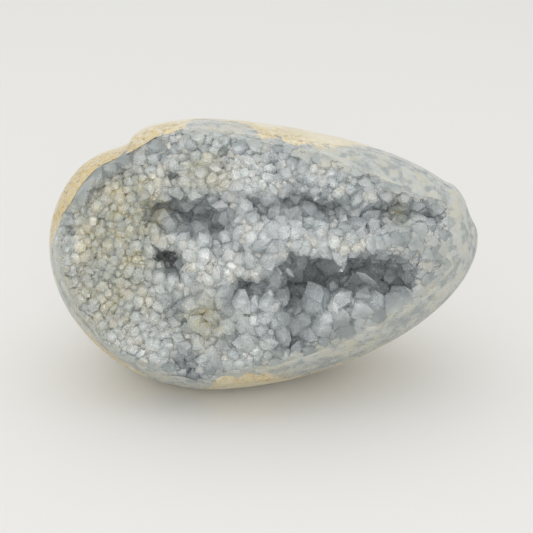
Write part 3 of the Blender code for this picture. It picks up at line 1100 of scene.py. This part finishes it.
def grown_celestite(tree, ground):
    """The celestite recipe with what the mesh's points say of their crystal and place."""
    values = {label: marked(tree, label.lower()) for label in ("Height", "Depth", "Tint", "Clear", "Tip")}
    values["Stain"] = math_of(tree, "MULTIPLY", marked(tree, "stain"), STAIN_SHARE)
    values["Ground"] = ground
    values["Ground Tone"] = CLEAR_TONE
    return placed_group(tree, CELESTITE, values)


def crystal_material(name):
    """Milky crystals that pass light on."""
    made, tree, shader = new_material(name)
    tone = grown_celestite(tree, marked(tree, "ground"))
    tree.links.new(tone["Color"], shader.inputs["Base Color"])
    tree.links.new(tone["Roughness"], shader.inputs["Roughness"])
    tree.links.new(bumped(tree, tone["Relief"], *CRYSTAL_BUMP), shader.inputs["Normal"])
    shader.inputs["Transmission Weight"].default_value = TRANSMISSION
    shader.inputs["IOR"].default_value = CELESTITE_IOR
    return made


crystal_finish = crystal_material("celestite_crystal")
for piece in crystal_pieces:
    piece.data.materials.append(crystal_finish)
print(crystal_finish.name, "on", len(crystal_pieces), "pieces")

# %% [markdown]
# The wheel ground one smooth skin over both minerals. Limestone is cream with warmer bands, and ochre
# and crumbly where it meets the crystals; massive celestite shows the sections of its crystals as soft
# mottles. Where one ends and the other starts is a ragged line that doesn't follow the crust's own edge,
# so one recipe paints the whole skin from the distance into the stone, in millimetres, and both the rind
# and the bed's ground margin use it.

# %% The ground and polished skin
OCHRE = (0.63, 0.49, 0.22, 1)
CREAM = (0.61, 0.56, 0.42, 1)
PALE_CREAM = (0.68, 0.65, 0.54, 1)
TAN = (0.44, 0.36, 0.23, 1)
GREY_STONE = (0.40, 0.38, 0.33, 1)
CREAM_PATCH = (0.98, 0.93, 0.74, 1)
RUSTY = (0.24, 0.155, 0.065, 1)
SECTION = 2.4 * MM
SECTION_SOFTNESS = 0.25
STONE_GRAIN = 1.2 * MM
STONE_CLOUD = 14 * MM
TAN_CLOUD = 26 * MM
STONE_CLAY = 0.5
BORDER_WANDERS = ((6 * MM, 4, 0.6, 0.2, 2.8), (1.5 * MM, 3, 0.5, 0.25, 1.2))
BORDER_HALF_WIDTH = 1.2
OCHRE_LEAST, OCHRE_MOST = 3.5, 26.0
CRUMB = 1.8 * MM
RUST_SPECK = 1.4 * MM
MASSIVE_ROUGHNESS, STONE_ROUGHNESS = 0.3, 0.42
CRUMBLY_ROUGHNESS = 0.35


def massive_celestite(tree, stain):
    """Ground celestite: the cut sections of crystals, with cream patches."""
    place = add(tree, "ShaderNodeTexCoord").outputs["Object"]
    cells = {"Vector": place, "Scale": 1 / SECTION, "Smoothness": SECTION_SOFTNESS}
    sections = add(tree, "ShaderNodeTexVoronoi", cells, feature="SMOOTH_F1")
    tint = add(tree, "ShaderNodeSeparateColor", {0: sections.outputs["Color"]}).outputs[0]
    milk = mapped(tree, grain(tree, 5 * MM, 4, 0.6), 0.25, 0.75, -0.7, 0.85)
    values = {
        "Height": milk, "Depth": 0.0, "Tint": tint, "Clear": 0.0, "Tip": 1.0, "Stain": stain,
        "Ground": 1.0, "Ground Tone": MASSIVE_TONE,
    }
    crystal = placed_group(tree, CELESTITE, values)
    cream = blended(tree, 1.0, CREAM_PATCH, MASSIVE_TONE, "MULTIPLY")
    in_patch = mapped(tree, grain(tree, 6 * MM, 5, 0.65, 0.5), 0.46, 0.7, 0, 0.7)
    return blended(tree, in_patch, crystal["Color"], cream)


def limestone(tree, fine):
    """Cream limestone with pale and tan clouds, grey grains and a little clay."""
    clouds = mapped(tree, grain(tree, STONE_CLOUD, 5, 0.55, 0.4), 0.35, 0.65)
    colour = blended(tree, clouds, CREAM, PALE_CREAM)
    colour = blended(tree, mapped(tree, grain(tree, TAN_CLOUD, 4), 0.54, 0.74, 0, 0.6), colour, TAN)
    colour = blended(tree, mapped(tree, fine, 0.55, 0.75, 0, 0.35), colour, GREY_STONE)
    clay = placed_group(tree, CLAY, {"Amount": STONE_CLAY})["Mask"]
    return blended(tree, clay, colour, OCHRE)


def ragged(tree, distance):
    """The distance into the stone, made to wander to both sides by a coarse and a fine noise."""
    for size, detail, roughness, spread, reach in BORDER_WANDERS:
        shift = mapped(tree, grain(tree, size, detail, roughness), 0.5 - spread, 0.5 + spread, -reach, reach)
        distance = math_of(tree, "ADD", distance, shift)
    return distance


def ochre_edge(tree, distance, clay_edge):
    """How ochre and crumbly the stone is: most at its border, further in where there is more clay."""
    reach = math_of(tree, "MULTIPLY", math_of(tree, "POWER", clay_edge, 3.0), OCHRE_MOST)
    reach = math_of(tree, "DIVIDE", distance, math_of(tree, "ADD", reach, OCHRE_LEAST))
    past_border = mapped(tree, distance, -BORDER_HALF_WIDTH, 0.4)
    near_edge = math_of(tree, "MULTIPLY", past_border, mapped(tree, reach, 1.0, 0.4))
    crumbs = mapped(tree, grain(tree, CRUMB, 5, 0.7), 0.42, 0.58, 0.1, 1)
    return math_of(tree, "MULTIPLY", math_of(tree, "MULTIPLY", near_edge, crumbs), clay_edge)


def skin_group():
    """The whole skin: massive celestite, limestone, and the ochre border between them."""
    tree, given, result = new_group(
        "polished_skin",
        {"Into Stone": "Float", "Clay Edge": "Float", "Stain": "Float"},
        {"Color": "Color", "Roughness": "Float", "Relief": "Float"},
    )
    fine = grain(tree, STONE_GRAIN, 5, 0.6)
    distance = ragged(tree, given["Into Stone"])
    ochre = ochre_edge(tree, distance, given["Clay Edge"])
    share = mapped(tree, distance, -BORDER_HALF_WIDTH, BORDER_HALF_WIDTH)
    colour = blended(tree, share, massive_celestite(tree, given["Stain"]), limestone(tree, fine))
    rusty = mapped(tree, grain(tree, RUST_SPECK, 4, 0.75), 0.54, 0.6)
    colour = blended(tree, ochre, colour, blended(tree, rusty, OCHRE, RUSTY))
    tree.links.new(colour, result["Color"])
    rough = between(tree, share, MASSIVE_ROUGHNESS, STONE_ROUGHNESS)
    rough = math_of(tree, "ADD", rough, mapped(tree, ochre, 0, 1, 0, CRUMBLY_ROUGHNESS))
    rough = math_of(tree, "ADD", rough, mapped(tree, fine, 0.3, 0.7, -0.06, 0.1))
    tree.links.new(rough, result["Roughness"])
    relief = math_of(tree, "MULTIPLY", fine, mapped(tree, ochre, 0, 0.8, 0.25, 1))
    tree.links.new(relief, result["Relief"])
    return tree


SKIN = skin_group()
print(SKIN.name, "has", len(SKIN.nodes), "nodes")

# %% [markdown]
# The rind wears the skin alone. The bed wears it only along its ground margin, and between the crystals
# it is rough celestite like theirs. The mask named "ground", stored on its points, goes from one to the
# other, so that no seam shows where crust and stone meet.

# %% The finish of the rind and of the bed
LIMESTONE_IOR = 1.55
SKIN_BUMP = (0.8, 0.4 * MM)
BED_BUMP = (0.6, 0.2 * MM)


def ground_skin(tree):
    """The skin recipe with what the mesh's points say of their distance from the stone."""
    labels = {"Into Stone": "into_stone", "Clay Edge": "clay_edge", "Stain": "stain"}
    return placed_group(tree, SKIN, {label: marked(tree, name) for label, name in labels.items()})


def skin_material(name):
    """The ground skin of the egg."""
    made, tree, shader = new_material(name)
    skin = ground_skin(tree)
    tree.links.new(skin["Color"], shader.inputs["Base Color"])
    tree.links.new(skin["Roughness"], shader.inputs["Roughness"])
    tree.links.new(bumped(tree, skin["Relief"], *SKIN_BUMP), shader.inputs["Normal"])
    shader.inputs["IOR"].default_value = LIMESTONE_IOR
    return made


def bed_material(name):
    """The bed: the ground skin along the margin, and rough celestite between the crystals."""
    made, tree, shader = new_material(name)
    grown, skin, ground = grown_celestite(tree, 0.0), ground_skin(tree), marked(tree, "ground")
    tree.links.new(blended(tree, ground, grown["Color"], skin["Color"]), shader.inputs["Base Color"])
    rough = between(tree, ground, grown["Roughness"], skin["Roughness"])
    tree.links.new(rough, shader.inputs["Roughness"])
    tree.links.new(bumped(tree, grown["Relief"], *BED_BUMP), shader.inputs["Normal"])
    shader.inputs["IOR"].default_value = CELESTITE_IOR
    return made


for piece, finish in ((bed, bed_material("celestite_bed")), (rind, skin_material("polished_skin"))):
    piece.data.materials.clear()
    piece.data.materials.append(finish)
    print(piece.name, "wears", finish.name)

# %% [markdown]
# The geode lies on a plain pale table under soft light, as in a light tent: one large lamp overhead, one
# in front at the left, a small warm one by the camera that reaches into the pockets, and a bright even
# surround. The table hardly shines, so that no lamp shows in it.

# %% Floor and light
FLOOR_HALF = 2.0
TABLE_GREY = (0.70, 0.695, 0.675, 1)
TABLE_ROUGHNESS = 0.9
TABLE_SHINE = 0.1
SURROUND = 0.95


def add_floor():
    """The table top, which is scenery and no part of the geode."""
    bm = bmesh.new()
    bmesh.ops.create_grid(bm, x_segments=1, y_segments=1, size=FLOOR_HALF)
    floor = add_mesh("table_top", bm, lambda points: points)
    made, tree, shader = new_material("pale_table")
    shader.inputs["Base Color"].default_value = TABLE_GREY
    shader.inputs["Roughness"].default_value = TABLE_ROUGHNESS
    shader.inputs["Specular IOR Level"].default_value = TABLE_SHINE
    floor.data.materials.append(made)


def add_lamp(name, location, width, watts, colour=(1, 1, 1)):
    """A round soft lamp that points at the geode."""
    lamp = bpy.data.lights.new(name, "AREA")
    lamp.shape = "DISK"
    lamp.size = width
    lamp.energy = watts
    lamp.color = colour
    made = bpy.data.objects.new(name, lamp)
    bpy.context.scene.collection.objects.link(made)
    made.visible_camera = False
    made.location = location
    made.rotation_euler = (-Vector(location)).to_track_quat("-Z", "Y").to_euler()


add_floor()
add_lamp("overhead", (-0.1, 0.1, 0.9), 1.3, 1.9)
add_lamp("front", (-0.3, -1.0, 0.4), 1.0, 1.6)
add_lamp("by the camera", (0.1, -0.95, 0.4), 0.4, 1.8, (1, 0.97, 0.92))
surround = bpy.data.worlds.new("surround")
surround.use_nodes = True
surround.node_tree.nodes["Background"].inputs["Color"].default_value = (1, 1, 1, 1)
surround.node_tree.nodes["Background"].inputs["Strength"].default_value = SURROUND
bpy.context.scene.world = surround
bpy.context.scene.view_settings.view_transform = "Standard"
print("lamps:", [light.name for light in bpy.data.lights])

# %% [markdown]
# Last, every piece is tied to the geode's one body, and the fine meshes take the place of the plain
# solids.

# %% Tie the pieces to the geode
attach(rind, "root")
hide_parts("matrix_rind")
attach(bed, "root")
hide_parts("crystal_crust")
for piece in crystal_pieces:
    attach(piece, "root")
